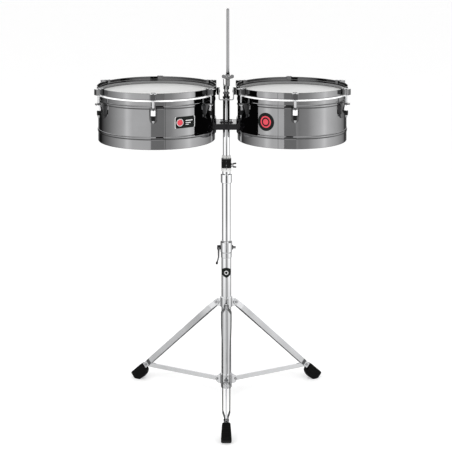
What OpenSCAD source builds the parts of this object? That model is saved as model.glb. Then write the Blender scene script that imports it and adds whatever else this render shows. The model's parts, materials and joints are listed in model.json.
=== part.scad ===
// Pair of steel timbales with a cross bracket, a two-stage height post,
// a double-braced folding tripod and a cowbell rod.
// Origin: on the floor, under the centre of the post. +Z up, +X to the player's
// small drum, -Y towards the leg that points forward. Millimetres.

/* [Drums] */
// Outside diameter of the large shell
large_d = 381; // [375:1:385]
// Outside diameter of the small shell
small_d = 355.6; // [350:1:360]
// Depth of both shells
shell_depth = 152.5; // [150:0.5:154]
// Sheet thickness of the shells
shell_t = 1.2; // [1:0.1:1.5]
// Clear gap between the two shells
shell_gap = 73.5; // [72.5:0.5:75]
// Height of the bearing edge above the floor
edge_z = 997.5; // [996:0.5:999]
// Height of the counter hoop band
hoop_h = 19; // [18:0.5:20]

/* [Lugs] */
// Distance from the shell's outside to the axis of a tension rod
rod_off = 16.5; // [16:0.5:17]
// Radius of a tension rod
rod_r = 4; // [3.8:0.1:4]

/* [Post] */
// Outside radius of the base tube
base_r = 15.9; // [15.8:0.05:15.9]
// Outside radius of the middle tube
mid_r = 14.3; // [14.2:0.05:14.3]
// Outside radius of the drum post
post_r = 11.1; // [11:0.05:11.1]
// Radius of the cowbell rod
bell_r = 4.75; // [4.5:0.05:4.75]
// Height of the top of the cowbell rod
bell_top = 1272; // [1240:1:1300]

/* [Tripod] */
// Height of the upper leg pivots
leg_z = 307.7; // [307:0.1:308.5]
// Distance of the leg pivots from the post's axis
leg_r = 34.4; // [34:0.1:35]
// Lean of the legs from vertical, in degrees
leg_tilt = 47.28; // [47:0.02:47.6]
// Distance along the leg from its pivot to the brace rivet
rivet_u = 376.5; // [375:0.5:377]
// Height of the brace pivots on the sliding collar
brace_z = 57.3; // [56:0.1:58.5]
// Distance of the brace pivots from the post's axis
brace_r = 32; // [31.5:0.1:32.5]

/* [Hidden] */
$fn = 64;
drum_fn = 128;                     // facets of the drum-sized circles

slip = 0.06;                       // radial clearance of a sliding fit
bolt_r = 3;                        // small bolts and their holes
bolt_hole_r = 3.05;

// ---------- helpers ----------
function arc(x, y, radius, start, end, steps) = [for (i = [0:steps])
  let (angle = start + (end - start) * i / steps)
  [x + radius * cos(angle), y + radius * sin(angle)]];
function rounded_rect(x_min, y_min, x_max, y_max, corner) = concat(
  arc(x_max - corner, y_max - corner, corner, 0, 90, 5),
  arc(x_min + corner, y_max - corner, corner, 90, 180, 5),
  arc(x_min + corner, y_min + corner, corner, 180, 270, 5),
  arc(x_max - corner, y_min + corner, corner, 270, 360, 5));
function reversed(list) = [for (i = [len(list) - 1:-1:0]) list[i]];

module tube(outer, inner, bottom, top) translate([0, 0, bottom]) difference() {
  cylinder(r = outer, h = top - bottom);
  translate([0, 0, -1]) cylinder(r = inner, h = top - bottom + 2);
}
// turned about Z; the (r, z) profile is measured from the given radius and height
module turn(profile, radius = 0, height = 0)
  rotate_extrude() polygon([for (point = profile) point + [radius, height]]);
// turned about X, profile in (x, r)
module turn_x(profile)
  rotate([0, 90, 0]) rotate_extrude() polygon([for (point = profile) [point[1], point[0]]]);
// cylinders along X and along Y
module cyl_x(radius, from, to, sides = 64)
  translate([from, 0, 0]) rotate([0, 90, 0]) cylinder(r = radius, h = to - from, $fn = sides);
module cyl_y(radius, from, to, sides = 64)
  translate([0, from, 0]) rotate([-90, 0, 0]) cylinder(r = radius, h = to - from, $fn = sides);
// shape drawn in (x, z), extruded along Y
module slab_y(from, to)
  translate([0, to, 0]) rotate([90, 0, 0]) linear_extrude(to - from) children();

// ---------- tripod ----------
front = -90;                       // bearings of the legs
left = 150;
right = 30;
pivot_r = 2.5;                     // pivot pins, bolts and brace rivets
pivot_hole_r = 2.55;
lock_z = brace_z + 12;             // leg lock screw

rivet_r = leg_r + sin(leg_tilt) * rivet_u;
rivet_z = leg_z - cos(leg_tilt) * rivet_u;
brace_len = sqrt(pow(rivet_r - brace_r, 2) + pow(rivet_z - brace_z, 2));
brace_dip = -atan2(rivet_z - brace_z, rivet_r - brace_r);

// local frames at a pivot: X runs out along the leg or brace, Y across it
module at_leg(bearing)
  rotate([0, 0, bearing]) translate([leg_r, 0, leg_z]) rotate([0, 90 - leg_tilt, 0]) children();
module at_brace(bearing)
  rotate([0, 0, bearing]) translate([brace_r, 0, brace_z]) rotate([0, brace_dip, 0]) children();
// upright frame at each of the three pivots of a collar
module at_pivots(radius, height) for (bearing = [front, left, right])
  rotate([0, 0, bearing]) translate([radius, 0, height]) children();

module base_tube() color("gainsboro") tube(base_r, mid_r + 0.08, 33, 500);

// outline in (x, z) about the badge's centre
STAND_BADGE = [[-13.9, 10.2], [-8, 14.4], [0, 16.4], [8, 14.4], [13.9, 10.2], [14.3, 0],
  [13.9, -7.2], [7.5, -13], [0, -16.6], [-7.5, -13], [-13.9, -7.2], [-14.3, 0]];
module stand_badge() color("black") intersection() {
  tube(base_r + 0.9, base_r, 388, 436);
  translate([0, 0, 411.6]) rotate([90, 0, 0]) linear_extrude(30) polygon(STAND_BADGE);
}

// ring about the post, at the height of its pivots
module collar_ring(bore, height) turn([[bore, -10], [18.6, -10], [19.5, -9],
  [19.5, 21], [18.2, 23], [bore, 23]], height = height);
// plate from the ring out to a pivot, drawn about the pivot
module ear(pivot_reach, from, to) slab_y(from, to) polygon(concat(
  [[base_r + 0.8 - pivot_reach, -12.8]],
  arc(-6.1, -3.3, 9.5, -90, 0, 7), arc(-6.1, 3.3, 9.5, 0, 90, 7),
  [[base_r + 0.8 - pivot_reach, 12.8]]));

module upper_collar() color("silver") difference() {
  union() {
    collar_ring(base_r, leg_z);
    at_pivots(leg_r, leg_z) ear(leg_r, -3, 3);
  }
  at_pivots(leg_r, leg_z) cyl_y(pivot_r, -10, 10);
}
module leg_pivot_pins() color("dimgray") at_pivots(leg_r, leg_z) cyl_y(pivot_r, -3, 3);

module lower_collar() color("silver") difference() {
  union() {
    collar_ring(base_r + slip, brace_z);
    at_pivots(brace_r, brace_z) {
      ear(brace_r, -6.6, -3.1);
      ear(brace_r, 3.1, 6.6);
    }
    translate([0, 0, lock_z]) cyl_y(7, 17.5, 27);
    // thin skirt below the ring
    turn([[slip, -22], [1.3, -22], [1.6, -21], [1.6, -9], [slip, -9]], base_r, brace_z);
  }
  at_pivots(brace_r, brace_z) cyl_y(pivot_r, -10, 10);
  translate([0, 0, lock_z]) cyl_y(bolt_hole_r, 10, 40);
}
module brace_pivot_bolts() color("dimgray") at_pivots(brace_r, brace_z) {
  cyl_y(pivot_r, -6.6, 6.6);
  cyl_y(4.2, 6.6, 9.6);
  cyl_y(4.4, -9.8, -6.6, 6);
}
module leg_lock_screw() color("silver") translate([0, 0, lock_z]) {
  cyl_y(bolt_r, base_r + 0.3, 30);
  cyl_y(5.5, 27.1, 33);
  // two wings
  translate([0, 30, 0]) rotate([-90, 0, 0]) linear_extrude(4)
    for (angle = [0, 180]) rotate(angle)
      polygon(concat([[0, -2.475]], arc(8.5, 0, 4.5, -80, 80, 8), [[0, 2.475]]));
  difference() {
    cyl_y(4.2, 32, 36);
    cyl_y(2, 35, 40);
  }
}

// Each leg is two bowed strips side by side that close up at both ends.
strip_t = 3.6;
strip_half = 8.8;                  // half the strip's height
strip_pinch = 3.05;                // inner face to centre line at the ends
strip_outer = strip_pinch + strip_t;
leg_len = 424;
// [distance along the leg, inner face to centre line]
STRIP_BOW = [[7, strip_pinch], [24, 13.9], [45, 13.9], [165, 9.9], [350, 8.9], [367, strip_pinch]];
function strip_inner(along) = along > 45 && along < 165
  ? 11.9 + 2 * cos((along - 45) * 1.5)
  : lookup(along, STRIP_BOW);
// distances along the leg at which the strip is drawn
STRIP_STATIONS = [-8, 7, 10, 14, 18, 21, 24, each [45:10:165],
  240, 345, 350, 354, 359, 363, 367, 371, leg_len];
function strip_face(side, depth) =
  [for (along = STRIP_STATIONS) [along, side * (strip_inner(along) + depth)]];

module leg_strip(side) intersection() {
  translate([0, 0, -12]) linear_extrude(24)
    polygon(concat(strip_face(side, 0), reversed(strip_face(side, strip_t))));
  difference() {
    union() {
      cyl_y(strip_half, -30, 30);
      translate([0, -30, -strip_half]) cube([leg_len, 60, 2 * strip_half]);
    }
    for (along = [0, rivet_u]) translate([along, 0, 0]) cyl_y(pivot_hole_r, -40, 40);
  }
}
module leg(bearing) color("lightgray") at_leg(bearing) {
  leg_strip(1);
  leg_strip(-1);
}
module front_leg() leg(front);
module left_leg() leg(left);
module right_leg() leg(right);

module rivets(bearing) color("dimgray") at_leg(bearing) {
  // one through each strip at the upper pivot
  for (side = [-1, 1]) scale([1, side, 1]) {
    cyl_y(pivot_hole_r, strip_pinch, strip_outer + 0.01);
    cyl_y(4.3, strip_outer, 8.6);
  }
  // one right through at the brace
  translate([rivet_u, 0, 0]) {
    cyl_y(pivot_r, -strip_outer, strip_outer);
    cyl_y(4.4, strip_outer, 8.4);
    cyl_y(4.4, -8.4, -strip_outer);
  }
}
module front_rivets() rivets(front);
module left_rivets() rivets(left);
module right_rivets() rivets(right);

// rubber foot: side outline in (along the leg, square to it)
FOOT_SIDE = [[388, 10.8], [391, 12.3], [437, 12.9], [440.6, 11.8], [442.4, 8.2], [443, -2],
  [441.5, -11.1], [428, -23.6], [418, -24.8], [406, -23.9], [396, -20.8], [389, -16.6], [388, -15]];
// plan outline in (along the leg, across it)
FOOT_PLAN = [[388, 11], [391, 13], [404, 14], [424, 15.4], [438, 16.3], [444, 15],
  [444, -15], [438, -16.3], [424, -15.4], [404, -14], [391, -13], [388, -11]];
// socket for the closed strips
SOCKET = [54.3, 2 * (strip_outer + 0.07), 2 * (strip_half + 0.05)];
module foot(bearing) color([0.09, 0.09, 0.09]) difference() {
  at_leg(bearing) difference() {
    intersection() {
      slab_y(-20, 20) polygon(FOOT_SIDE);
      translate([0, 0, -40]) linear_extrude(80) polygon(FOOT_PLAN);
    }
    translate([370, -SOCKET[1] / 2, -SOCKET[2] / 2]) cube(SOCKET);
  }
  // flat on the floor
  translate([-600, -600, -60]) cube([1200, 1200, 60]);
}
module front_foot() foot(front);
module left_foot() foot(left);
module right_foot() foot(right);

brace_half = 7.2;                  // half the brace's height
module brace(bearing) color("lightgray") at_brace(bearing) difference() {
  slab_y(-2.9, 2.9) polygon(concat(arc(0, 0, brace_half, 110, 250, 8),
    [[16, -brace_half], [brace_len - 26, -brace_half]],
    arc(brace_len, 0, 6.2, -70, 70, 8),
    [[brace_len - 26, brace_half], [16, brace_half]]));
  // channel open underneath
  translate([15, -1.5, -12]) cube([brace_len - 40, 3, 17]);
  for (along = [0, brace_len]) translate([along, 0, 0]) cyl_y(pivot_hole_r, -10, 10);
}
module front_brace() brace(front);
module left_brace() brace(left);
module right_brace() brace(right);

// ---------- height post ----------
mid_bore = 12.85;                  // inside radii of the two upper tubes
post_bore = 9.6;
lower_bolt = [0, 28, 482.5];       // centre of the lower clamp bolt
upper_screw = [0, -18, 762.6];     // centre of the upper clamp screw
bell_post_r = 6.9;

module mid_tube() color("gainsboro") tube(mid_r, mid_bore, 340, 725);

module lower_clamp() color("silver") difference() {
  union() {
    turn([[base_r - 3, 458], [17, 458], [17.4, 459], [17.4, 474], [19, 477],
      [19, 508], [17.5, 513], [base_r - 3, 513]]);
    // jaws
    translate([-14, 12, 467]) cube([28, 24, 31]);
    translate([0, 36, 467]) linear_extrude(31) polygon([[-14, -1], [14, -1], [11, 4], [-11, 4]]);
  }
  translate([0, 0, 450]) {
    cylinder(r = base_r, h = 50);
    cylinder(r = mid_r + slip, h = 80);
  }
  translate([-1.2, 10, 450]) cube([2.4, 40, 80]);
  translate([-1.3, -30, 486]) cube([2.6, 20, 40]);
  translate(lower_bolt) cyl_x(4.05, -20, 20);
}
module lower_clamp_bolt() color("dimgray") translate(lower_bolt) {
  cyl_x(4, -13.9, 31);
  cyl_x(8, 14, 16);
  cyl_x(7.5, 16, 22.5, 6);
}
module lower_clamp_lever() color("silver") translate(lower_bolt) {
  turn_x([[-14.1, 0], [-14.1, 6.4], [-15, 7], [-17, 7], [-18.5, 5.4], [-19.5, 6.6],
    [-20.5, 7.6], [-29, 7.6], [-30.4, 6.6], [-30.8, 4.6], [-30.8, 0]]);
  // handle, bent at the lower ball
  translate([-25.4, 0, -33]) {
    cylinder(r1 = 2.4, r2 = 3.4, h = 30);
    sphere(r = 2.4);
    rotate([0, 196.7, 0]) {
      cylinder(r1 = 2.4, r2 = 2.1, h = 21);
      translate([0, 0, 20.5]) sphere(r = 3.2);
    }
  }
}
module upper_sleeve() color("gainsboro") turn([[mid_r, 702], [17.2, 702], [18, 703.5],
  [18, 729.5], [17, 731.5], [13.6, 731.5], [13.6, 739.9], [mid_bore, 739.9],
  [mid_bore, 725.05], [mid_r, 725.05]]);
module upper_bushing() color("whitesmoke") difference() {
  turn([[post_r + slip, 690], [12.8, 690], [12.8, 740], [15.9, 740], [16.4, 741],
    [16.4, 752.7], [15.9, 753.7], [12.8, 753.7], [12.8, 782.3], [14.6, 782.3],
    [14.6, 790], [13, 791.5], [post_r + slip, 791.5]]);
  translate([-0.7, -20, 745]) cube([1.4, 20, 60]);
}
module upper_clamp() color([0.1, 0.1, 0.1]) difference() {
  union() {
    turn([[post_r, 753.8], [16.2, 753.8], [16.2, 781.2], [15.2, 782.2], [post_r, 782.2]]);
    translate([0, 0, 753.8]) linear_extrude(28.4) polygon(rounded_rect(-15.5, -25, 15.5, 4, 2.5));
  }
  translate([0, 0, 740]) cylinder(r = 12.83, h = 60);
  translate([-0.9, -40, 740]) cube([1.8, 40, 60]);
  translate(upper_screw) cyl_x(bolt_hole_r, -30, 30);
}
module upper_clamp_screw() color("silver") translate(upper_screw) {
  cyl_x(bolt_r, -15.4, 16);
  turn_x([[15.6, 0], [15.6, 6.4], [16.6, 6.9], [19, 5.8], [23, 4], [24, 2.6], [24, 0]]);
  slab_y(-1.9, 1.9) for (side = [-1, 1]) scale([1, side])
    polygon(concat([[17, 1.5], [19.5, 5.4], [22.5, 7.9]], arc(30.2, 5.9, 2.7, 80, -70, 8),
      [[25, 2.8], [22, 0.6], [17, 0.6]]));
}
module drum_post() color("gainsboro") tube(post_r, post_bore, 600, 972.7);

module post_cap() color([0.06, 0.06, 0.06]) turn([[bell_post_r + slip, 945], [post_bore, 945],
  [post_bore, 980.8], [12, 980.8], [12, 983.2], [11.2, 984], [bell_post_r + slip, 984]]);

// ---------- drum places ----------
large_r = large_d / 2;
small_r = small_d / 2;
large_x = -(shell_gap / 2 + large_r);
small_x = shell_gap / 2 + small_r;
// [axis x, shell radius, bearing that faces the post]
DRUMS = [[large_x, large_r, 0], [small_x, small_r, 180]];
skin_gap = 0.03;                   // between a shell and what is fixed to it

module at_large() translate([large_x, 0, 0]) children();
module at_small() translate([small_x, 0, 0]) children();
// on the shell at the four mount bolts, X pointing outwards
module bolt_sites(radius, facing) for (side = [-1, 1], z = [891.5, 908.5])
  translate([0, 0, z]) rotate([0, 0, facing + side * asin(28 / radius)])
    translate([radius, 0, 0]) children();
module all_bolt_sites() for (drum = DRUMS)
  translate([drum[0], 0, 0]) bolt_sites(drum[1], drum[2]) children();

// ---------- cross bracket ----------
plate_top = 901.5;
plate_t = 3;
bracket_x = 90;                    // size before the drums are cut away
bracket_y = 94;
flange_bottom = 882.4;
hub_r = 15;

module hub_screw_sites()
  for (x = [-15.5, 15.5], y = [-16, 16]) translate([x, y, 0]) children();

module cross_bracket() color([0.1, 0.1, 0.1]) difference() {
  union() {
    // plate with a flange down each long side
    difference() {
      translate([-bracket_x / 2, -bracket_y / 2, 0]) {
        translate([0, 0, plate_top - plate_t]) cube([bracket_x, bracket_y, plate_t]);
        for (y = [0, bracket_y - plate_t])
          translate([0, y, flange_bottom]) cube([bracket_x, plate_t, plate_top - flange_bottom]);
      }
      for (drum = DRUMS) translate([drum[0], 0, 800]) {
        cylinder(r = drum[1] + 1.5, h = 200, $fn = drum_fn);
        cylinder(r = drum[1] + 2.1, h = 87, $fn = drum_fn);
      }
    }
    // curved end plates against the shells, relieved over the lower bead
    for (drum = DRUMS) intersection() {
      translate([drum[0], 0, 0]) difference() {
        tube(drum[1] + 3.4, drum[1] + skin_gap, 869, 916, $fn = drum_fn);
        translate([0, 0, 868]) cylinder(r = drum[1] + 2.1, h = 19, $fn = drum_fn);
      }
      translate([drum[0] < 0 ? -60 : 0, -50, 860]) cube([60, 100, 60]);
    }
  }
  translate([0, 0, 890]) cylinder(r = hub_r + 0.1, h = 20);
  all_bolt_sites() cyl_x(bolt_hole_r, -10, 10);
  hub_screw_sites() translate([0, 0, 890]) cylinder(r = 2.6, h = 20);
}
module bracket_hub() color("dimgray") difference() {
  union() {
    translate([0, 0, plate_top]) linear_extrude(2.6) polygon(rounded_rect(-21.5, -22, 21.5, 22, 3));
    translate([0, 0, 880]) cylinder(r = hub_r, h = 22);
  }
  translate([0, 0, 870]) cylinder(r = post_r, h = 50);
  hub_screw_sites() translate([0, 0, 890]) cylinder(r = 2.55, h = 20);
}
module hub_screws() color("dimgray") hub_screw_sites() {
  translate([0, 0, 892]) cylinder(r = 2.5, h = plate_top + 2.7 - 892);
  translate([0, 0, plate_top + 2.6]) cylinder(r1 = 4.4, r2 = 3.4, h = 2.4);
  // nut under the plate
  difference() {
    translate([0, 0, 894.4]) cylinder(r = 4.5, h = 4.1, $fn = 6);
    translate([0, 0, 890]) cylinder(r = 2.52, h = 10);
  }
}
module mount_bolts() color("dimgray") all_bolt_sites() {
  cyl_x(bolt_r, -9, 3.6);
  // domed head
  difference() {
    intersection() {
      translate([-4.6, 0, 0]) sphere(r = 10.2);
      cyl_x(5.6, 3.45, 8);
    }
  }
  // nut inside the shell
  difference() {
    cyl_x(5.8, -6.5, -1.35, 6);
    cyl_x(3.02, -10, 0);
  }
}

// ---------- hoop guard ----------
guard_z = 1001;                    // bumper axis
bumper_x = shell_gap / 2 - 5.05;   // outer face of the bumpers
// U-shaped strap, open upwards, with a boss on the post
module hoop_guard() color("gainsboro") difference() {
  union() {
    slab_y(-12.5, 12.5) polygon(concat([[25.3, 1015.8]],
      arc(19.3, 978.7, 6, 0, -90, 5), arc(-19.3, 978.7, 6, -90, -180, 5),
      [[-25.3, 1015.8], [-22, 1015.8]],
      arc(-19.3, 978.7, 2.7, 180, 270, 4), arc(19.3, 978.7, 2.7, 270, 360, 4),
      [[22, 1015.8]]));
    translate([0, 0, 975.5]) cylinder(r = 11.4, h = 5.3);
  }
  translate([0, 0, 960]) cylinder(r = post_bore, h = 40);
  translate([0, 0, guard_z]) cyl_x(3, -40, 40);
}
module guard_bumpers() color([0.05, 0.05, 0.05])
  for (side = [-1, 1]) translate([0, 0, guard_z]) scale([side, 1, 1])
    turn_x([[20.4, 0], [20.4, 4], [21.9, 5.2], [21.9, 3], [25.4, 3], [25.4, 11.4], [26.4, 12.4],
      [bumper_x - 2, 12.4], [bumper_x - 0.7, 11.2], [bumper_x, 8.6], [bumper_x, 0]]);

// ---------- cowbell holder ----------
bell_x = 5;                        // sideways offset of the cowbell rod
seat_r = bell_r - 0.75;            // turned-down lower end of the cowbell rod
seat_top = 1062;
eye = [bell_x, 0, 1047];           // centre of the eyebolt's eye

module cowbell_post() color([0.3, 0.3, 0.31]) difference() {
  translate([0, 0, 900]) cylinder(r = bell_post_r, h = 118);
  translate([0, 0, 890]) cylinder(r = 5.4, h = 110);
}
module post_collar() color([0.3, 0.3, 0.31]) {
  difference() {
    union() {
      turn([[bell_post_r, 984.1], [8, 984.1], [8.2, 984.8], [8.2, 992.4], [9.4, 993.2],
        [9.4, 998.2], [8.8, 999], [bell_post_r, 999]]);
      translate([0, 0, 993.2]) linear_extrude(5.6) polygon(rounded_rect(-7.6, -12, 7.6, -6.5, 1.2));
    }
    translate([0, 0, 970]) cylinder(r = bell_post_r, h = 60);
    translate([0, -9.6, 996]) cyl_x(1.45, -20, 20);
    translate([-0.5, -14, 980]) cube([1, 10, 30]);
  }
  // cross screw and nut
  translate([0, -9.6, 996]) {
    cyl_x(1.4, -8.6, 8.6);
    cyl_x(2.6, 7.7, 10.8);
    cyl_x(2.6, -10.8, -7.7, 6);
  }
}
module rod_clamp() color("gainsboro") difference() {
  union() {
    turn([[bell_post_r, 1007], [8.8, 1007], [9.4, 1008], [9.4, 1019], [8.4, 1021.5],
      [0, 1021.5], [0, 1018], [bell_post_r, 1018]]);
    // upright tab on the left
    slab_y(-6, 6) polygon([[-10.4, 1038.6], [-9.6, 1040.4], [-8.2, 1040.4], [-7.4, 1039],
      [-7.4, 1024], [-5.6, 1021.5], [3, 1021.5], [3, 1017], [-6.5, 1017], [-10.4, 1022]]);
    translate([0, 0, 1019]) {
      linear_extrude(39) polygon(rounded_rect(bell_x - 7.6, -15, bell_x + 6.4, -1, 2));
      linear_extrude(3) polygon(rounded_rect(-8, -14, 11, 6, 2));
    }
  }
  translate([0, 0, 1000]) cylinder(r = bell_post_r, h = 18);
  translate([bell_x, 0, 1022.5]) cylinder(r = seat_r + slip, h = 60);
  translate(eye) {
    translate([0, 0, -4.7]) cylinder(r = 9.1, h = 9.4);
    cyl_y(bolt_hole_r, -30, 0);
  }
  translate([-0.2, -20, 1023]) cube([1, 8, 13]);
}
module rod_eyebolt() color("silver") translate(eye) difference() {
  union() {
    translate([0, 0, -4.5]) cylinder(r = 9, h = 9);
    cyl_y(bolt_r, -31, -6);
  }
  translate([0, 0, -17]) cylinder(r = seat_r + slip, h = 40);
}
module rod_wing_nut() color("silver") translate(eye) difference() {
  union() {
    rotate([90, 0, 0])
      turn([[0, 15.1], [8.2, 15.1], [8.2, 17], [7, 20], [5.8, 27], [5, 28], [0, 28]]);
    translate([0, -20, 0]) rotate([90, 0, 0]) linear_extrude(4.6)
      for (side = [-1, 1]) scale([side, 1])
        polygon(concat([[3, -5]], arc(13.8, 4.8, 6.2, -100, 150, 14), [[3, 4.5]]));
  }
  cyl_y(bolt_hole_r, -40, 0);
}
module cowbell_rod() color("silver") translate([bell_x, 0, 0]) union() {
  translate([0, 0, 1024]) cylinder(r = seat_r, h = 39);
  translate([0, 0, seat_top]) cylinder(r = bell_r, h = bell_top - seat_top - bell_r);
  translate([0, 0, bell_top - bell_r]) sphere(r = bell_r);
}
module rod_stop() color([0.08, 0.08, 0.08]) translate([bell_x, 0, 0])
  turn([[seat_r, -3.9], [5.4, -3.9], [5.8, -3.2], [5.8, -0.8], [5.4, -0.1], [seat_r, -0.1]],
    height = seat_top);

// ---------- drums ----------
ring_z = edge_z - 2.3;             // underside of the flesh hoop
hoop_z = ring_z + 8;               // underside of the counter hoop
top_z = hoop_z + hoop_h;           // top of the counter hoop
bead_hi = edge_z - 20.5;           // centres of the shell's two beads
bead_lo = 880.5;

// half-sine bulge, 2 mm proud
function bead(radius, centre_z, height) = [for (i = [0:8]) let (angle = 180 * i / 8)
  [radius + 2 * sin(angle), centre_z - height / 2 * cos(angle)]];
function beads(radius) = concat(bead(radius, bead_lo, 11), bead(radius, bead_hi, 12));

module shell(radius, facing) color([0.42, 0.42, 0.44]) difference() {
  bottom = edge_z - shell_depth;
  rotate_extrude($fn = drum_fn) polygon(concat(
    [[radius - 4.5, bottom], [radius - 1, bottom], [radius, bottom + 1.2]],
    beads(radius),
    [[radius, edge_z - 0.8], [radius - 0.4, edge_z], [radius - shell_t, edge_z]],
    reversed(beads(radius - shell_t)),
    [[radius - shell_t, bottom + 1.4], [radius - 4.5, bottom + 1.4]]));
  lug_sites(radius) lug_screw_sites() cyl_x(2.1, -10, 10);
  bolt_sites(radius, facing) cyl_x(bolt_hole_r, -10, 10);
}
module large_shell() at_large() shell(large_r, 0);
module small_shell() at_small() shell(small_r, 180);

module head(radius) color([0.88, 0.88, 0.86]) rotate_extrude($fn = drum_fn) polygon([
  [0, edge_z], [radius + 0.5, edge_z], [radius + 0.5, hoop_z - 2.5], [radius + 0.1, hoop_z - 2.5],
  [radius - 0.4, edge_z + 1.4], [radius - 4, edge_z + 0.5], [0, edge_z + 0.5]]);
module large_head() at_large() head(large_r);
module small_head() at_small() head(small_r);

module flesh_hoop(radius) color([0.9, 0.9, 0.92]) turn([[0.5, 0.6], [1.1, 0], [3.7, 0],
  [4.3, 0.8], [4.3, 7.2], [3.7, 8], [0.5, 8]], radius, ring_z, $fn = drum_fn);
module large_flesh_hoop() at_large() flesh_hoop(large_r);
module small_flesh_hoop() at_small() flesh_hoop(small_r);

module hoop(radius) color([0.4, 0.4, 0.42]) turn([[0.6, 0], [4.8, 0], [4.8, hoop_h - 0.7],
  [4.1, hoop_h], [3.7, hoop_h], [3.1, hoop_h - 0.8], [1.9, 10.6], [2.6, 10.3], [2.6, 9.5],
  [1.75, 9.2], [0.9, 4.4], [0.6, 4]], radius, hoop_z, $fn = drum_fn);
module large_hoop() at_large() hoop(large_r);
module small_hoop() at_small() hoop(small_r);

// ---------- tension lugs ----------
flange_z = edge_z - 24.5;          // underside of a lug's flange
rod_hole_r = rod_r + 0.1;
nut_bore = rod_r + 0.05;

// on the shell's outside at each lug, X pointing outwards
module lug_sites(radius) for (bearing = [-90, -30, 30, 90, 150, 210])
  rotate([0, 0, bearing]) translate([radius, 0, 0]) children();
module all_lug_sites()
  for (drum = DRUMS) translate([drum[0], 0, 0]) lug_sites(drum[1]) children();
module lug_screw_sites() for (z = [937, 961]) translate([0, 0, z]) children();

module claw() color([0.5, 0.5, 0.52]) difference() {
  union() {
    // body with a rounded nose
    translate([0, 0, top_z - 18.2]) linear_extrude(18.7) polygon(concat(
      [[5, -8], [7, -10.5], [22.4, -10.5], [23.6, -9.4], [24.6, -9.4]],
      arc(27, -7.6, 2, -70, 0, 4), arc(27, 7.6, 2, 0, 70, 4),
      [[24.6, 9.4], [23.6, 9.4], [22.4, 10.5], [7, 10.5], [5, 8]]));
    // hook over the hoop
    translate([0, 0, top_z]) slab_y(-7, 7) polygon([[-0.6, -9], [0.1, -10], [0.85, -9],
      [1.5, -2], [1.5, 0.1], [8, 0.1], [8, 1.6], [6.6, 2.4], [0.8, 2.4], [-0.6, 1.2]]);
  }
  translate([rod_off, 0, top_z - 30]) cylinder(r = rod_hole_r, h = 60);
  translate([rod_off, 0, top_z - 3]) cylinder(r = 6.6, h = 10);
}
module large_claws() at_large() lug_sites(large_r) claw();
module small_claws() at_small() lug_sites(small_r) claw();

module rod() color("gainsboro") translate([rod_off, 0, 0])
  turn([[0, edge_z - 66], [2.4, edge_z - 66], [3.4, edge_z - 64.6], [rod_r, edge_z - 60],
    [rod_r, top_z - 3], [6.4, top_z - 3], [6.4, top_z + 0.4], [4.6, top_z + 1.8],
    [0, top_z + 2.2]]);
module large_rods() at_large() lug_sites(large_r) rod();
module small_rods() at_small() lug_sites(small_r) rod();

// plate bent round the shell at +X, its outline drawn in (y, z)
module skin_plate(radius, thickness) intersection() {
  tube(radius + thickness, radius + skin_gap, 880, 990, $fn = drum_fn);
  rotate([90, 0, 90]) linear_extrude(radius + 20) children();
}
// drawn about the drum's axis, then moved so the shell's outside is at x = 0
module lug_bracket(radius) translate([-radius, 0, 0]) difference() {
  union() {
    skin_plate(radius, 3.2) polygon(concat(
      [[12.5, flange_z + 4.5], [-12.5, flange_z + 4.5]], arc(0, 940.5, 12.5, 180, 360, 12)));
    // flange that carries the rod
    translate([radius, 0, flange_z]) linear_extrude(4.5) polygon(concat(
      [[2.9, -12.5], [14, -12.5]], arc(rod_off + 2, 0, 10.5, -70, 70, 8),
      [[14, 12.5], [2.9, 12.5]]));
    // side ribs
    for (side = [-1, 1]) translate([radius, side * 11.3, flange_z]) slab_y(-1.2, 1.2)
      polygon([[2.8, 0.5], [13.5, 0.5], [12.5, -6], [6.5, -26], [2.8, -32]]);
  }
  // relief over the upper bead
  translate([0, 0, bead_hi - 6.6]) cylinder(r = radius + 2.1, h = 30, $fn = drum_fn);
  translate([radius + rod_off, 0, 940]) cylinder(r = rod_hole_r, h = 60);
  lug_screw_sites() cyl_x(2, radius - 5, radius + 2.4);
}
module lug_brackets() color([0.36, 0.36, 0.38])
  for (drum = DRUMS) translate([drum[0], 0, 0]) lug_sites(drum[1]) lug_bracket(drum[1]);

module tuning_nuts() color("whitesmoke")
  all_lug_sites() translate([rod_off, 0, flange_z - 18]) difference() {
    union() {
      cylinder(r = 8.3, h = 15.6, $fn = 6);
      translate([0, 0, 15.6]) cylinder(r = 9.4, h = 2.35);
    }
    translate([0, 0, -5]) cylinder(r = nut_bore, h = 40);
  }
module nut_sleeves() color([0.08, 0.08, 0.08]) all_lug_sites() translate([rod_off, 0, 0])
  turn([[nut_bore, -34], [5, -34], [6.1, -31.5], [6.3, -18.1], [nut_bore, -18.1]],
    height = flange_z);
module lug_screws() color("dimgray") all_lug_sites() lug_screw_sites() {
  cyl_x(2, -3.6, 2.3);
  turn_x([[-3.9, 0], [-3.9, 2.6], [-3.3, 3.9], [-1.3, 4.2], [-1.3, 0]]);
}

// raised name-plate blanks with no lettering
module large_badge() color("black") at_large() rotate([0, 0, -59])
  skin_plate(large_r, 1.1) polygon(rounded_rect(-36.5, 910, 36.5, 946, 3));
module small_badge() color("firebrick") at_small() rotate([0, 0, -120.5])
  skin_plate(small_r, 1.1) polygon(arc(0, 927, 28.5, 0, 350, 35));

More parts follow.
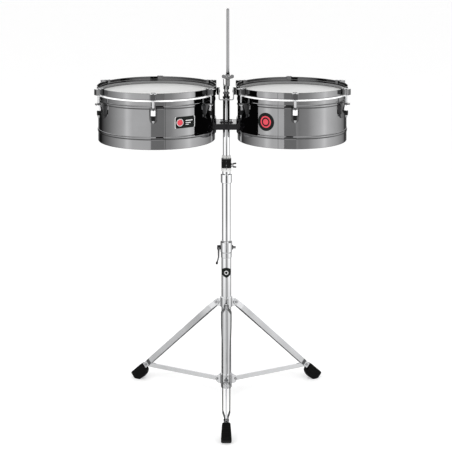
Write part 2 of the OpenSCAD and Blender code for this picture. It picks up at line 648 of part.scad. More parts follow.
// ---------- parts ----------
base_tube();
stand_badge();
upper_collar();
leg_pivot_pins();
lower_collar();
brace_pivot_bolts();
leg_lock_screw();
front_leg();
left_leg();
right_leg();
front_foot();
left_foot();
right_foot();
front_brace();
left_brace();
right_brace();
front_rivets();
left_rivets();
right_rivets();
mid_tube();
lower_clamp();
lower_clamp_bolt();
lower_clamp_lever();
upper_sleeve();
upper_bushing();
upper_clamp();
upper_clamp_screw();
drum_post();
cross_bracket();
bracket_hub();
hub_screws();
mount_bolts();
post_cap();
hoop_guard();
guard_bumpers();
cowbell_post();
post_collar();
rod_clamp();
rod_eyebolt();
rod_wing_nut();
cowbell_rod();
rod_stop();
large_shell();
small_shell();
large_head();
small_head();
large_flesh_hoop();
small_flesh_hoop();
large_hoop();
small_hoop();
large_claws();
small_claws();
large_rods();
small_rods();
lug_brackets();
tuning_nuts();
nut_sleeves();
lug_screws();
large_badge();
small_badge();
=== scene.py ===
import json
import math
import bpy
import bmesh
from mathutils import Matrix, Vector

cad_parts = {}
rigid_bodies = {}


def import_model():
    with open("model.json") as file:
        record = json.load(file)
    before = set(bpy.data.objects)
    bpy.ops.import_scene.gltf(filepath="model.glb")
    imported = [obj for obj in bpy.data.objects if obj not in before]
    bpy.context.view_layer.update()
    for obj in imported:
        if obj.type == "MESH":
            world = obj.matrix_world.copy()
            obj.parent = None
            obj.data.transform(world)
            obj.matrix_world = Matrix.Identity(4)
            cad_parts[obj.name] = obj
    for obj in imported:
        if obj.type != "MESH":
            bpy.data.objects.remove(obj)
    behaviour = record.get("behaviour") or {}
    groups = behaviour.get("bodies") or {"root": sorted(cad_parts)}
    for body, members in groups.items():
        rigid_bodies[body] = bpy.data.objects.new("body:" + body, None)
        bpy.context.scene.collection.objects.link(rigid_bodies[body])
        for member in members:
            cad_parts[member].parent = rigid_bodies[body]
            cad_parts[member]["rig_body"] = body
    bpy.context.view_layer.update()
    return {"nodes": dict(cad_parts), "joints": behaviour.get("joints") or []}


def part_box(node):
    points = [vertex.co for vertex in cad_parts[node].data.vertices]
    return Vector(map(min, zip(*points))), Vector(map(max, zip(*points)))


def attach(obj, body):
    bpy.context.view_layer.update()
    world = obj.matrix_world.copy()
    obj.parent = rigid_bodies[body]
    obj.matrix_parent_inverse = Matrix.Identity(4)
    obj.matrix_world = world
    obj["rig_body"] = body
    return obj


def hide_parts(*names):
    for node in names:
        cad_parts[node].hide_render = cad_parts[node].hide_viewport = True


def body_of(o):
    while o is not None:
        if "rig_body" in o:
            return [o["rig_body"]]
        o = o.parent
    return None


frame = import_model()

scene = bpy.context.scene
NODES = frame["nodes"]


def centre(node):
    lo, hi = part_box(node)
    return (lo + hi) / 2


# ---------------------------------------------------------------- node helpers
class Graph:
    """A short way to write shader nodes."""

    def __init__(self, tree):
        self.t = tree
        tree.nodes.clear()

    def node(self, kind, **settings):
        n = self.t.nodes.new(kind)
        for k, v in settings.items():
            setattr(n, k, v)
        return n

    def put(self, socket, value):
        if hasattr(value, "is_output"):
            self.t.links.new(value, socket)
        else:
            socket.default_value = value

    def math(self, op, a, b=0.0, c=None, clamp=False):
        n = self.node("ShaderNodeMath", operation=op, use_clamp=clamp)
        self.put(n.inputs[0], a)
        self.put(n.inputs[1], b)
        if c is not None:
            self.put(n.inputs[2], c)
        return n.outputs[0]

    def rescale(self, v, a, b, c, d, smooth=False):
        n = self.node("ShaderNodeMapRange", interpolation_type="SMOOTHSTEP" if smooth else "LINEAR")
        for i, x in enumerate((v, a, b, c, d)):
            self.put(n.inputs[i], x)
        return n.outputs[0]

    def mixcol(self, f, a, b, mode="MIX"):
        n = self.node("ShaderNodeMix", data_type="RGBA", blend_type=mode)
        self.put(n.inputs[0], f)
        self.put(n.inputs[6], a)
        self.put(n.inputs[7], b)
        return n.outputs[2]

    def mix(self, f, a, b):
        n = self.node("ShaderNodeMix", data_type="FLOAT")
        self.put(n.inputs[0], f)
        self.put(n.inputs[2], a)
        self.put(n.inputs[3], b)
        return n.outputs[0]

    def coords(self, scale=(1, 1, 1)):
        tc = self.node("ShaderNodeTexCoord")
        m = self.node("ShaderNodeMapping")
        m.inputs["Scale"].default_value = scale
        self.t.links.new(tc.outputs["Object"], m.inputs["Vector"])
        return m.outputs[0]

    def noise(self, scale, stretch=(1, 1, 1), detail=3.0, rough=0.55):
        n = self.node("ShaderNodeTexNoise")
        self.put(n.inputs["Vector"], self.coords(stretch))
        n.inputs["Scale"].default_value = scale
        n.inputs["Detail"].default_value = detail
        n.inputs["Roughness"].default_value = rough
        return n.outputs[0]

    def ramp(self, fac, stops, interp="LINEAR"):
        n = self.node("ShaderNodeValToRGB")
        r = n.color_ramp
        r.interpolation = interp
        while len(r.elements) > 1:
            r.elements.remove(r.elements[-1])
        for i, (p, c) in enumerate(stops):
            e = r.elements[0] if i == 0 else r.elements.new(p)
            e.position = p
            e.color = (c, c, c, 1) if not isinstance(c, tuple) else (*c, 1)
        self.put(n.inputs[0], fac)
        return n.outputs[0]


def material(name):
    m = bpy.data.materials.new(name)
    m.use_nodes = True
    g = Graph(m.node_tree)
    out = g.node("ShaderNodeOutputMaterial")
    b = g.node("ShaderNodeBsdfPrincipled")
    g.t.links.new(b.outputs[0], out.inputs[0])
    return m, g, b


def metal(name, color, rough=0.06, wander=0.02, haze=0.5, scratch=0.04, edge=0.0, aniso=0.0, seam=None, tone=None):
    """Plated metal: fine polishing lines, cloudy haze in the roughness, and a slight tone drift."""
    m, g, b = material(name)
    cloud = g.noise(22, (1, 1, 1), 4)
    fine = g.noise(900, (1, 1, 0.04), 2)
    base = g.mixcol(g.rescale(cloud, 0.35, 0.65, 0, 1), tuple(c * (1 - 0.03) for c in color) + (1,), tuple(min(1, c * 1.02) for c in color) + (1,))
    if tone is not None:
        base = tone(g, base)
    if seam is not None:
        cx, cy, ang, half = seam
        sep = g.node("ShaderNodeSeparateXYZ")
        g.put(sep.inputs[0], g.coords())
        x = g.math("SUBTRACT", sep.outputs[0], cx)
        y = g.math("SUBTRACT", sep.outputs[1], cy)
        a = g.math("ARCTAN2", x, g.math("MULTIPLY", y, -1.0))
        d = g.math("ABSOLUTE", g.math("SUBTRACT", a, ang))
        line = g.rescale(d, half * 0.45, half, 1, 0, True)
        base = g.mixcol(g.math("MULTIPLY", line, 0.72), base, (0.05, 0.05, 0.05, 1))
    b.inputs["Metallic"].default_value = 1.0
    g.put(b.inputs["Base Color"], base)
    r = g.rescale(cloud, 0.3, 0.7, max(0.0, rough - wander * haze), rough + wander)
    r = g.math("ADD", r, g.rescale(fine, 0.5, 0.75, 0, scratch * 0.5))
    g.put(b.inputs["Roughness"], r)
    bump = g.node("ShaderNodeBump")
    bump.inputs["Strength"].default_value = scratch
    bump.inputs["Distance"].default_value = 0.00002
    g.put(bump.inputs["Height"], fine)
    if edge > 0:
        bev = g.node("ShaderNodeBevel", samples=4)
        bev.inputs["Radius"].default_value = edge
        g.put(bump.inputs["Normal"], bev.outputs[0])
    g.put(b.inputs["Normal"], bump.outputs[0])
    if aniso:
        b.inputs["Anisotropic"].default_value = aniso
    return m


def plastic(name, color, rough=0.4, grain=0.05, scale=1800, spec=0.5, edge=0.0003, coat=0.0, mottled=0.15, painted_glow=0.0):
    m, g, b = material(name)
    # Painted light: this emission makes the part glow though it is no lamp.
    if painted_glow:
        b.inputs["Emission Color"].default_value = (*color, 1)
        b.inputs["Emission Strength"].default_value = painted_glow
    cloud = g.noise(60, (1, 1, 1), 4)
    fine = g.noise(scale, (1, 1, 1), 2)
    g.put(b.inputs["Base Color"], g.mixcol(g.rescale(cloud, 0.35, 0.65, 0, 1), tuple(c * (1 - mottled) for c in color) + (1,), tuple(min(1, c * (1 + mottled)) for c in color) + (1,)))
    g.put(b.inputs["Roughness"], g.rescale(fine, 0.3, 0.7, rough * 0.85, min(1, rough * 1.15)))
    b.inputs["Specular IOR Level"].default_value = spec
    b.inputs["Coat Weight"].default_value = coat
    b.inputs["Coat Roughness"].default_value = 0.04
    bump = g.node("ShaderNodeBump")
    bump.inputs["Strength"].default_value = grain
    bump.inputs["Distance"].default_value = 0.0002
    g.put(bump.inputs["Height"], fine)
    if edge > 0:
        bev = g.node("ShaderNodeBevel", samples=4)
        bev.inputs["Radius"].default_value = edge
        g.put(bump.inputs["Normal"], bev.outputs[0])
    g.put(b.inputs["Normal"], bump.outputs[0])
    return m


def head_film(name):
    """Coated plastic film: very fine matt grain, faint clouding, and painted shade on its lowest edge beside the flesh
    hoop.
    """
    m, g, b = material(name)
    cloud = g.noise(9, (1, 1, 1), 3)
    grain = g.noise(2600, (1, 1, 1), 2)
    sep = g.node("ShaderNodeSeparateXYZ")
    g.put(sep.inputs[0], g.coords())
    z0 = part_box("large_head")[0].z
    # Painted shade: the film's lowest millimetre, where it tucks in beside the flesh hoop, is painted near black.
    painted_skirt_shade = g.rescale(sep.outputs[2], z0 + 0.0006, z0 + 0.0016, 0, 1)
    skin = g.mixcol(g.rescale(cloud, 0.3, 0.7, 0, 1), (0.70, 0.70, 0.695, 1), (0.745, 0.745, 0.74, 1))
    g.put(b.inputs["Base Color"], g.mixcol(painted_skirt_shade, skin, (0.045, 0.045, 0.045, 1)))
    g.put(b.inputs["Roughness"], g.rescale(grain, 0.3, 0.7, 0.42, 0.58))
    b.inputs["Specular IOR Level"].default_value = 0.35
    bump = g.node("ShaderNodeBump")
    bump.inputs["Strength"].default_value = 0.12
    bump.inputs["Distance"].default_value = 0.0001
    g.put(bump.inputs["Height"], grain)
    g.put(b.inputs["Normal"], bump.outputs[0])
    return m


def paint(obj, mat):
    obj.data.materials.clear()
    obj.data.materials.append(mat)
    for p in obj.data.polygons:
        p.material_index = 0


# ---------------------------------------------------------------- positions
large_c, small_c = centre("large_shell"), centre("small_shell")
R_large = (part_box("large_flesh_hoop")[1].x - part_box("large_flesh_hoop")[0].x) / 2 - 0.0043
R_small = (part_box("small_flesh_hoop")[1].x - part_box("small_flesh_hoop")[0].x) / 2 - 0.0043

# ---------------------------------------------------------------- materials
NICKEL = (0.325, 0.325, 0.33)
CHROME = (0.87, 0.875, 0.885)
chrome_tube = metal("chrome_tube", CHROME, 0.03, 0.02, scratch=0.03)
chrome_part = metal("chrome_part", (0.78, 0.785, 0.795), 0.06, 0.03, edge=0.0008)
chrome_strip = metal("chrome_strip", (0.68, 0.685, 0.695), 0.13, 0.04, edge=0.0008)
chrome_brace = metal("chrome_brace", (0.76, 0.765, 0.775), 0.13, 0.04, edge=0.0006)
chrome_lever = metal("chrome_lever", (0.22, 0.22, 0.225), 0.08, 0.03, edge=0.0004)
rod_metal = metal("rod_metal", (0.45, 0.45, 0.46), 0.12, 0.05)
chrome_dark = metal("chrome_dark", (0.42, 0.42, 0.43), 0.10, 0.04, edge=0.0003)
steel_bolt = metal("steel_bolt", (0.50, 0.50, 0.51), 0.2, 0.06, edge=0.0002)
def flesh_ring(name, z0):
    """Bright plated band made to glow a little (painted light), with painted shade along its upper edge, where the
    counter hoop overhangs it, and along its lower edge.
    """
    m = plastic(name, (0.95, 0.95, 0.955), 0.25, 0.02, spec=0.8, edge=0.0006, mottled=0.02, painted_glow=0.22)
    g = Graph.__new__(Graph)
    g.t = m.node_tree
    b = next(n for n in g.t.nodes if n.type == "BSDF_PRINCIPLED")
    sep = g.node("ShaderNodeSeparateXYZ")
    g.put(sep.inputs[0], g.coords())
    # Painted shade: the band is darkened near its top, under the counter hoop, and near its bottom edge; the glow
    # below carries the same painted shade.
    shade = g.math("MULTIPLY", g.rescale(sep.outputs[2], z0 + 0.0052, z0 + 0.0060, 1, 0.10), g.rescale(sep.outputs[2], z0 + 0.0007, z0 + 0.0013, 0.15, 1))
    old = b.inputs["Base Color"].links[0].from_socket
    dark = g.mixcol(shade, (0.05, 0.05, 0.05, 1), old)
    g.put(b.inputs["Base Color"], dark)
    g.put(b.inputs["Emission Color"], dark)
    return m


bright_ring = flesh_ring("bright_ring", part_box("large_flesh_hoop")[0].z)
nut_bright = metal("nut_bright", (0.93, 0.93, 0.94), 0.14, 0.04, edge=0.0004)
SEAM_L = (large_c.x, large_c.y, math.radians(11.3), math.radians(0.25))
SEAM_S = (small_c.x, small_c.y, math.radians(-17.1), math.radians(0.27))
nickel_large = metal("nickel_large", NICKEL, 0.035, 0.02, scratch=0.02, seam=SEAM_L)
nickel_small = metal("nickel_small", NICKEL, 0.035, 0.02, scratch=0.02, seam=SEAM_S)
nickel_hoop_l = metal("nickel_hoop_large", NICKEL, 0.04, 0.02, scratch=0.02)
nickel_hoop_s = metal("nickel_hoop_small", NICKEL, 0.04, 0.02, scratch=0.02, seam=SEAM_S)
nickel_part = metal("nickel_part", (0.33, 0.33, 0.335), 0.06, 0.03, edge=0.0012)
nickel_lug = metal("nickel_lug", (0.19, 0.19, 0.192), 0.08, 0.04, edge=0.0009)
nickel_claw = metal("nickel_claw", (0.22, 0.22, 0.223), 0.06, 0.03, edge=0.0012)
clamp_metal = metal("clamp_metal", (0.50, 0.50, 0.505), 0.05, 0.02, edge=0.0010)
gloss_black = plastic("gloss_black", (0.010, 0.010, 0.011), 0.20, 0.03, spec=0.5, coat=0.25, edge=0.0005)
satin_black = plastic("satin_black", (0.006, 0.006, 0.006), 0.38, 0.05, spec=0.22, edge=0.0004)
rubber = plastic("rubber", (0.0035, 0.0035, 0.0035), 0.5, 0.2, scale=1400, spec=0.10, edge=0.0)
pale_plastic = plastic("pale_plastic", (0.80, 0.80, 0.79), 0.3, 0.03, edge=0.0003, mottled=0.03)
film = head_film("head_film")
badge_black = plastic("badge_black", (0.008, 0.010, 0.009), 0.35, 0.02, spec=0.12, coat=0.0, edge=0.0)
# The red badge parts glow a little: painted light.
badge_red = plastic("badge_red", (0.62, 0.05, 0.075), 0.32, 0.02, spec=0.4, edge=0.0, mottled=0.06, painted_glow=0.06)
badge_light = plastic("badge_light", (0.72, 0.72, 0.72), 0.3, 0.02, spec=0.5, edge=0.0, mottled=0.04)

LOOKS = {
    "base_tube": chrome_tube, "stand_badge": badge_black, "upper_collar": chrome_part, "leg_pivot_pins": steel_bolt,
    "lower_collar": chrome_part, "brace_pivot_bolts": steel_bolt, "leg_lock_screw": chrome_part,
    "mid_tube": chrome_tube, "lower_clamp": chrome_part, "lower_clamp_bolt": chrome_dark, "lower_clamp_lever": chrome_lever,
    "upper_sleeve": chrome_tube, "upper_bushing": pale_plastic, "upper_clamp": satin_black, "upper_clamp_screw": chrome_part,
    "drum_post": chrome_tube, "cross_bracket": gloss_black, "bracket_hub": chrome_dark, "hub_screws": chrome_dark,
    "mount_bolts": nickel_part, "post_cap": satin_black, "hoop_guard": chrome_part, "guard_bumpers": rubber,
    "cowbell_post": chrome_tube, "post_collar": nickel_part, "rod_clamp": clamp_metal, "rod_eyebolt": clamp_metal,
    "rod_wing_nut": clamp_metal, "cowbell_rod": rod_metal, "rod_stop": satin_black,
    "large_shell": nickel_large, "small_shell": nickel_small, "large_head": film, "small_head": film,
    "large_flesh_hoop": bright_ring, "small_flesh_hoop": bright_ring, "large_hoop": nickel_hoop_l, "small_hoop": nickel_hoop_s,
    "large_claws": nickel_claw, "small_claws": nickel_claw, "large_rods": chrome_part, "small_rods": chrome_part,
    "lug_brackets": nickel_lug, "tuning_nuts": nut_bright, "nut_sleeves": satin_black, "lug_screws": chrome_dark,
    "large_badge": badge_black, "small_badge": badge_black,
}
for side in ("front", "left", "right"):
    LOOKS[side + "_leg"] = chrome_strip
    LOOKS[side + "_brace"] = chrome_brace
    LOOKS[side + "_rivets"] = chrome_dark
    LOOKS[side + "_foot"] = rubber
for n, o in NODES.items():
    paint(o, LOOKS[n])

# ---------------------------------------------------------------- pieces in mesh code
def mesh_piece(name, verts, faces, mat, body, sharp=40):
    me = bpy.data.meshes.new(name)
    bm = bmesh.new()
    vs = [bm.verts.new(v) for v in verts]
    for f in faces:
        bm.faces.new([vs[i] for i in f])
    bmesh.ops.recalc_face_normals(bm, faces=bm.faces)
    bm.to_mesh(me)
    bm.free()
    for p in me.polygons:
        p.use_smooth = True
    me.set_sharp_from_angle(angle=math.radians(sharp))
    o = bpy.data.objects.new(name, me)
    scene.collection.objects.link(o)
    me.materials.append(mat)
    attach(o, body)
    return o


def lerp(table, x):
    for (a, va), (b, vb) in zip(table, table[1:]):
        if x <= b:
            return va + (vb - va) * max(0.0, (x - a)) / (b - a)
    return table[-1][1]


def rounded(w, lo, hi, r, n=9):
    """Outline of a rounded rectangle, w each side of 0 and from lo to hi."""
    out = []
    for cx, cy, a0 in ((w - r, hi - r, 0), (-w + r, hi - r, 90), (-w + r, lo + r, 180), (w - r, lo + r, 270)):
        for i in range(n):
            a = math.radians(a0 + 90 * i / (n - 1))
            out.append((cx + r * math.cos(a), cy + r * math.sin(a)))
    return out


def bridged(loops, close_first, close_last):
    """Faces between loops of equal length, and fans over the ends."""
    n = len(loops[0])
    verts = [p for loop in loops for p in loop]
    faces = []
    for k in range(len(loops) - 1):
        for i in range(n):
            j = (i + 1) % n
            faces.append((k * n + i, k * n + j, (k + 1) * n + j, (k + 1) * n + i))
    for wanted, k in ((close_first, 0), (close_last, len(loops) - 1)):
        if wanted:
            mid = sum((Vector(p) for p in loops[k]), Vector()) / n
            verts.append(tuple(mid))
            m = len(verts) - 1
            faces += [(k * n + i, k * n + (i + 1) % n, m) for i in range(n)]
    return verts, faces


TOP = [(388, 10.8), (391, 12.3), (437, 12.9), (440.6, 11.8), (442.4, 8.2), (443, 4)]
BOT = [(388, -15), (389, -16.6), (396, -20.8), (406, -23.9), (418, -24.8), (428, -23.6), (441.5, -11.1), (443, -7)]
WID = [(388, 11), (391, 13), (404, 14), (424, 15.4), (436, 16.2), (440.5, 15.4), (442.2, 13.2), (443, 10.5)]
JOINTS = {j["name"]: j for j in frame["joints"]}


def foot(side, az):
    """A ribbed rubber boot over the end of a leg, drawn in (along the leg, across, away from it)."""
    lo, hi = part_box(side + "_foot")
    tilt = math.radians(47.28)
    a = math.radians(az)

    def put(u, y, z):
        r = 0.0344 + (u * math.sin(tilt) + z * math.cos(tilt)) / 1000
        h = 0.3077 + (-u * math.cos(tilt) + z * math.sin(tilt)) / 1000
        x, yy = r * math.cos(a) - y / 1000 * math.sin(a), r * math.sin(a) + y / 1000 * math.cos(a)
        return (min(max(x, lo.x), hi.x), min(max(yy, lo.y), hi.y), max(h, lo.z))

    loops = []
    for u, w, lo_, hi_, r in ((424.2, 6.75, -8.85, 8.85, 0.6), (391, 6.75, -8.85, 8.85, 0.6), (390.2, 7.6, -10, 9.2, 1.4), (389.6, 8.6, -12, 9.6, 2.5), (388.3, 9.6, -13.6, 10.0, 3)):
        loops.append([put(u, y, z) for y, z in rounded(w, lo_, hi_, r)])
    stations = [388, 388.6, 389.6, 391]
    u = 392.5
    while u < 437:
        stations.append(u)
        u += 0.75
    stations += [437.5, 439, 440.4, 441.4, 442.2, 442.7, 443]
    for u in stations:
        ph = ((u - 394) % 6.0) / 6.0
        rib = 0.0
        if 394 < u < 432:
            rib = 0.75 * (max(0.0, math.cos(2 * math.pi * ph)) ** 3)
        w, t, b_ = lerp(WID, u) - rib, lerp(TOP, u) - rib, lerp(BOT, u)
        loops.append([put(u, y, z) for y, z in rounded(w, b_, t, min(4.2, w * 0.45))])
    loops.append([put(443, y * 0.7, z) for y, z in rounded(10.5, -4.5, 2.5, 3)])
    v, f = bridged(loops, True, True)
    o = mesh_piece(side + "_boot", v, f, rubber, body_of(NODES[side + "_foot"])[0], 50)
    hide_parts(side + "_foot")


for side, az in (("front", -90), ("left", 150), ("right", 30)):
    foot(side, az)


def on_drum(centre_, radius, az):
    """Places (across, height, outwards) in millimetres on a drum's side at an azimuth in degrees."""
    a = math.radians(az)

    def put(s, z, h):
        c = math.sqrt(max(0.0, radius * radius - (s / 1000) ** 2)) + h / 1000
        return (centre_.x + c * math.cos(a) - s / 1000 * math.sin(a), centre_.y + c * math.sin(a) + s / 1000 * math.cos(a), z / 1000)
    return put


def emblem(name, put, outlines, fill, high, mat, body, base=0.95):
    """A thin raised mark on a curved plate. Outlines run from the outer edge inwards and have equal length."""
    tops = [[put(s, z, high - (0.12 if k == 0 or (k == len(outlines) - 1 and not fill) else 0.0)) for s, z in o] for k, o in enumerate(outlines)]
    under = [[put(s, z, base) for s, z in o] for o in outlines]
    if fill:
        v, f = bridged(list(reversed(under)) + tops, True, True)
    else:
        v, f = bridged(list(reversed(under)) + tops + [under[-1]], False, False)
        n = len(outlines[0])
        last = (len(under) + len(tops)) * n
        f = [tuple(i - last if i >= last else i for i in q) for q in f]
        v = v[:last]
    return mesh_piece(name, v, f, mat, body, 30)


def circle(cx, cy, r, n=48, sx=1.0):
    return [(cx + sx * r * math.cos(2 * math.pi * i / n), cy + r * math.sin(2 * math.pi * i / n)) for i in range(n)]


def shrunk(outline, cx, cy, ks):
    return [[(cx + (x - cx) * k, cy + (y - cy) * k) for x, y in outline] for k in ks]


def shifted(outline, dx):
    return [(x + dx, y) for x, y in outline]


rack = body_of(NODES["large_badge"])[0]
L = on_drum(large_c, R_large, -59)
KS = (1, 0.94, 0.8, 0.6, 0.4, 0.2)
emblem("large_badge_border", L, [rounded(36.2, 910.3, 945.7, 3), rounded(35.6, 910.9, 945.1, 2.6), rounded(34.6, 911.9, 944.1, 2), rounded(34.0, 912.5, 943.5, 1.6)], False, 1.35, badge_light, rack)
emblem("large_badge_ring", L, [circle(-18.5, 928, 11.6), circle(-18.5, 928, 11.2), circle(-18.5, 928, 10.2), circle(-18.5, 928, 9.9)], False, 1.5, badge_light, rack)
emblem("large_badge_dot", L, shrunk(circle(-18.5, 928, 9.2), -18.5, 928, KS), True, 1.5, badge_red, rack)
for i, (x0, x1, z0, z1) in enumerate(((1, 27, 931.5, 934.7), (1, 20, 924.6, 927.0), (1, 13, 919.6, 921.4))):
    mid = (x0 + x1) / 2
    emblem("large_badge_bar_%d" % i, L, shrunk(shifted(rounded((x1 - x0) / 2, z0, z1, (z1 - z0) * 0.45), mid), mid, (z0 + z1) / 2, KS), True, 1.4, badge_light, rack)
S = on_drum(small_c, R_small, -120.5)
emblem("small_badge_rim", S, [circle(0, 927, 28.2, 64), circle(0, 927, 27.8, 64), circle(0, 927, 27.0, 64), circle(0, 927, 26.7, 64)], False, 1.3, badge_black, rack)
emblem("small_badge_ring", S, [circle(0, 927, 18.5, 64), circle(0, 927, 17.9, 64), circle(0, 927, 14.6, 64), circle(0, 927, 14.0, 64)], False, 1.5, badge_red, rack)
emblem("small_badge_dot", S, shrunk(circle(0, 927, 9.5), 0, 927, KS), True, 1.5, badge_red, rack)


def turned(name, start, direction, profile, mat, body, n=24):
    """A turned piece along a line; the profile lists (distance along the line, radius) in millimetres."""
    d = Vector(direction).normalized()
    u = d.orthogonal().normalized()
    w = d.cross(u)
    loops = []
    for t, r in profile:
        c = Vector(start) + d * (t / 1000)
        loops.append([tuple(c + (u * math.cos(2 * math.pi * i / n) + w * math.sin(2 * math.pi * i / n)) * (r / 1000)) for i in range(n)])
    v, f = bridged(loops, True, True)
    return mesh_piece(name, v, f, mat, body, 35)


# the dipped plastic tip on the end of the lever, which hangs down and outwards from the bolt
lo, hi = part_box("lower_clamp_lever")
hub = Vector((hi.x + 0.0141, (lo.y + hi.y) / 2, hi.z - 0.0076))
bend = Vector((hub.x - 0.0254, hub.y, hub.z - 0.033))
lean = Vector((math.sin(math.radians(196.7)), 0, math.cos(math.radians(196.7))))
ball = bend + lean * 0.0205
turned("lever_tip", ball - lean * 0.0065, lean, [(0, 2.45), (0.5, 2.75), (2.6, 2.8), (3.4, 3.1), (4.4, 3.42), (6.0, 3.62), (7.6, 3.5), (8.9, 2.9), (9.8, 1.8), (10.1, 0.8)], rubber, body_of(NODES["lower_clamp_lever"])[0])

lo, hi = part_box("stand_badge")
P = on_drum(Vector((0, 0, 0)), 0.0159, -90)
zc = (lo.z + hi.z) * 500
emblem("stand_badge_ring", P, [circle(0, zc, 6.6), circle(0, zc, 6.3), circle(0, zc, 4.7), circle(0, zc, 4.4)], False, 1.2, badge_light, body_of(NODES["stand_badge"])[0], 0.8)

# ---------------------------------------------------------------- studio
def plane(name, size_x, size_y, matrix):
    me = bpy.data.meshes.new(name)
    x, y = size_x / 2, size_y / 2
    me.from_pydata([(-x, -y, 0), (x, -y, 0), (x, y, 0), (-x, y, 0)], [], [(0, 1, 2, 3)])
    o = bpy.data.objects.new(name, me)
    scene.collection.objects.link(o)
    o.matrix_world = matrix
    return o


floor = plane("studio_floor", 90, 90, Matrix.Translation((0, 20, -0.0002)))
m, g, b = material("studio_paper")
paper = g.noise(3, (1, 1, 1), 2)
g.put(b.inputs["Base Color"], g.mixcol(g.rescale(paper, 0.3, 0.7, 0, 1), (0.87, 0.87, 0.87, 1), (0.88, 0.88, 0.88, 1)))
b.inputs["Roughness"].default_value = 0.9
b.inputs["Specular IOR Level"].default_value = 0.1
b.inputs["Emission Color"].default_value = (1, 1, 1, 1)
b.inputs["Emission Strength"].default_value = 0.30
paint(floor, m)
floor.visible_glossy = False


def lin(v):
    v = v / 255
    return v / 12.92 if v <= 0.04045 else ((v + 0.055) / 1.055) ** 2.4


world = bpy.data.worlds.new("studio")
scene.world = world
world.use_nodes = True
g = Graph(world.node_tree)
tc = g.node("ShaderNodeTexCoord")
sep = g.node("ShaderNodeSeparateXYZ")
g.t.links.new(tc.outputs["Generated"], sep.inputs[0])
theta = g.math("ARCTAN2", sep.outputs[0], g.math("MULTIPLY", sep.outputs[1], -1.0))
t = g.math("ADD", g.math("DIVIDE", theta, 2 * math.pi), 0.5)
# Round the object at its own height: a strip light near each side, falling off to a dark flag behind either shoulder.
# Each stop is an azimuth and the tone a nickel plate shows there.
TABLE = [(-180, 90), (-160, 70), (-148, 20), (-138, 10), (-125, 60), (-105, 100), (-80, 140), (-65, 160), (-57, 185), (-45, 165),
         (-12, 160), (12, 110), (16, 115), (30, 125), (43, 150), (58, 170), (69, 190), (77, 175), (105, 150), (130, 110), (146, 15), (156, 60), (180, 90)]
MIDDLE = [(-180, 1.25), (-160, 1.25), (-148, 0.10), (-100, 0.08), (-60, 0.16), (-40, 0.30), (-15, 0.36), (15, 0.36), (40, 0.30),
          (60, 0.16), (100, 0.08), (148, 0.10), (160, 1.25), (180, 1.25)]
low = g.ramp(t, [((a + 180) / 360, lin(v) / NICKEL[0] / 2) for a, v in TABLE])
mid = g.ramp(t, [((a + 180) / 360, v / 2) for a, v in MIDDLE])
to_mid = g.rescale(sep.outputs[2], -0.02, 0.06, 0, 1, True)
up = g.rescale(sep.outputs[2], 0.21, 0.36, 0, 1, True)
down = g.rescale(sep.outputs[2], -0.43, -0.53, 0, 1, True)
deep = g.rescale(sep.outputs[2], -0.66, -0.92, 0, 1, True)
drop = g.rescale(sep.outputs[2], -0.315, -0.255, 0.60, 1)
low = g.mixcol(1.0, low, drop, "MULTIPLY")
sky = g.mixcol(to_mid, low, mid)
over = g.rescale(sep.outputs[2], 0.74, 0.90, 0, 1, True)
sky = g.mixcol(up, sky, (0.60, 0.60, 0.60, 1))
sky = g.mixcol(over, sky, (0.055, 0.055, 0.055, 1))
sky = g.mixcol(down, sky, (0.07, 0.07, 0.07, 1))
sky = g.mixcol(deep, sky, (0.36, 0.36, 0.36, 1))
env = g.node("ShaderNodeBackground")
g.put(env.inputs[0], sky)
env.inputs[1].default_value = 2.0
soft = g.node("ShaderNodeBackground")
soft.inputs[0].default_value = (1, 1, 1, 1)
soft.inputs[1].default_value = 0.78
back = g.node("ShaderNodeBackground")
back.inputs[0].default_value = (0.99, 0.99, 0.99, 1)
back.inputs[1].default_value = 1.0
lp = g.node("ShaderNodeLightPath")
mx1 = g.node("ShaderNodeMixShader")
g.put(mx1.inputs[0], lp.outputs["Is Glossy Ray"])
g.t.links.new(soft.outputs[0], mx1.inputs[1])
g.t.links.new(env.outputs[0], mx1.inputs[2])
mx2 = g.node("ShaderNodeMixShader")
g.put(mx2.inputs[0], lp.outputs["Is Camera Ray"])
g.t.links.new(mx1.outputs[0], mx2.inputs[1])
g.t.links.new(back.outputs[0], mx2.inputs[2])
wo = g.node("ShaderNodeOutputWorld")
g.t.links.new(mx2.outputs[0], wo.inputs[0])


def card(name, size_x, size_y, matrix, build):
    """A reflection card: seen only in polished metal."""
    o = plane(name, size_x, size_y, matrix)
    o.visible_camera = o.visible_diffuse = o.visible_shadow = o.visible_transmission = o.visible_volume_scatter = False
    m = bpy.data.materials.new(name)
    m.use_nodes = True
    g = Graph(m.node_tree)
    out = g.node("ShaderNodeOutputMaterial")
    g.t.links.new(build(g), out.inputs[0])
    paint(o, m)
    return o


def emission(g, color, strength=1.0):
    e = g.node("ShaderNodeEmission")
    g.put(e.inputs[0], color)
    e.inputs[1].default_value = strength
    return e.outputs[0]


def gap_card(g):
    sep = g.node("ShaderNodeSeparateXYZ")
    geo = g.node("ShaderNodeNewGeometry")
    g.t.links.new(geo.outputs["Position"], sep.inputs[0])
    z = sep.outputs[2]
    c = g.ramp(g.rescale(z, -1.5, 1.5, 0, 1), [((a + 1.5) / 3, v) for a, v in (
        (-1.5, 0.6), (-0.6, 0.52), (-0.30, 0.42), (-0.05, 0.2), (0.06, 0.05), (0.395, 0.05), (0.425, 0.40), (0.75, 0.42), (0.95, 0.12), (1.15, 0.01), (1.5, 0.008))])
    return emission(g, c)


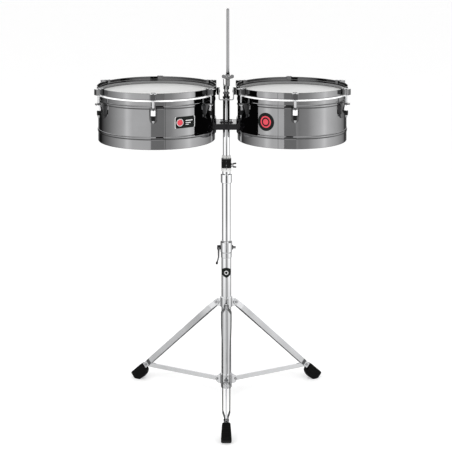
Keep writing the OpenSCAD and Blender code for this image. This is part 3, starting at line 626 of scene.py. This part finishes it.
upright = Matrix.Rotation(math.radians(90), 4, "X")
black = lambda g: emission(g, (0.004, 0.004, 0.004, 1))
card("gap_card", 0.98, 4.1, Matrix.Translation((-0.04, -2.23, -0.95)) @ upright, gap_card)
card("gap_card_high", 0.41, 3.8, Matrix.Translation((0.005, -1.43, 3.03)) @ upright, black)
# Painted reflections: black cards among the drums, seen only in reflections, darken the shells where the drums face
# each other and the post on either side.
lo_z, hi_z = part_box("large_shell")[0].z + 0.018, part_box("large_hoop")[1].z + 0.004
sideways = Matrix.Rotation(math.radians(90), 4, "Z") @ upright
card("between_drums_dark_reflection_card", 0.228, hi_z - lo_z, Matrix.Translation((0, -0.044, (lo_z + hi_z) / 2)) @ sideways, black)
for i, x in enumerate((-0.033, 0.033)):
    card("post_dark_reflection_card_%d" % i, 0.108, 0.20, Matrix.Translation((x, 0.026, 0.963)) @ sideways, black)


def area(name, loc, target, size, power):
    l = bpy.data.lights.new(name, "AREA")
    l.shape = "RECTANGLE"
    l.size, l.size_y = size
    l.energy = power
    o = bpy.data.objects.new(name, l)
    scene.collection.objects.link(o)
    o.location = loc
    o.rotation_euler = (Vector(target) - Vector(loc)).to_track_quat("-Z", "Y").to_euler()
    o.visible_glossy = False
    return o


area("key_soft", (-2.2, -3.0, 3.2), (0, 0, 0.7), (2.4, 2.4), 60)
area("fill_soft", (2.6, -2.6, 2.6), (0, 0, 0.7), (2.4, 2.4), 40)

cam = bpy.data.cameras.new("photo_camera")
cam.lens = 1267.6 / 452 * 36
cam.sensor_width = 36
cam.shift_x = -0.3 / 452
cam.clip_end = 200
cam_o = bpy.data.objects.new("photo_camera", cam)
cam_o.location = (0, -4.145, 1.626)
cam_o.rotation_euler = (math.radians(90), 0, 0)
scene.collection.objects.link(cam_o)
scene.camera = cam_o
# The lens is shifted down at this standpoint only, so that upright lines stay upright; from any other standpoint the lens is centred.
shift = cam.driver_add("shift_y")
for mod in list(shift.modifiers):
    shift.modifiers.remove(mod)
shift.driver.type = "SUM"
for k in range(20):
    var = shift.driver.variables.new()
    var.type = "TRANSFORMS"
    var.targets[0].id = cam_o
    var.targets[0].transform_type = "LOC_Y"
    var.targets[0].transform_space = "WORLD_SPACE"
lens = -(226 + 100.1) / 452
for at, value in ((-0.1, 0), (-0.05, lens), (0.05, lens), (0.1, 0)):
    shift.keyframe_points.insert(20 * cam_o.location.y + at, value)
for key in shift.keyframe_points:
    key.interpolation = "LINEAR"
shift.extrapolation = "CONSTANT"
shift.update()
scene.view_settings.view_transform = "Standard"
scene.view_settings.look = "None"
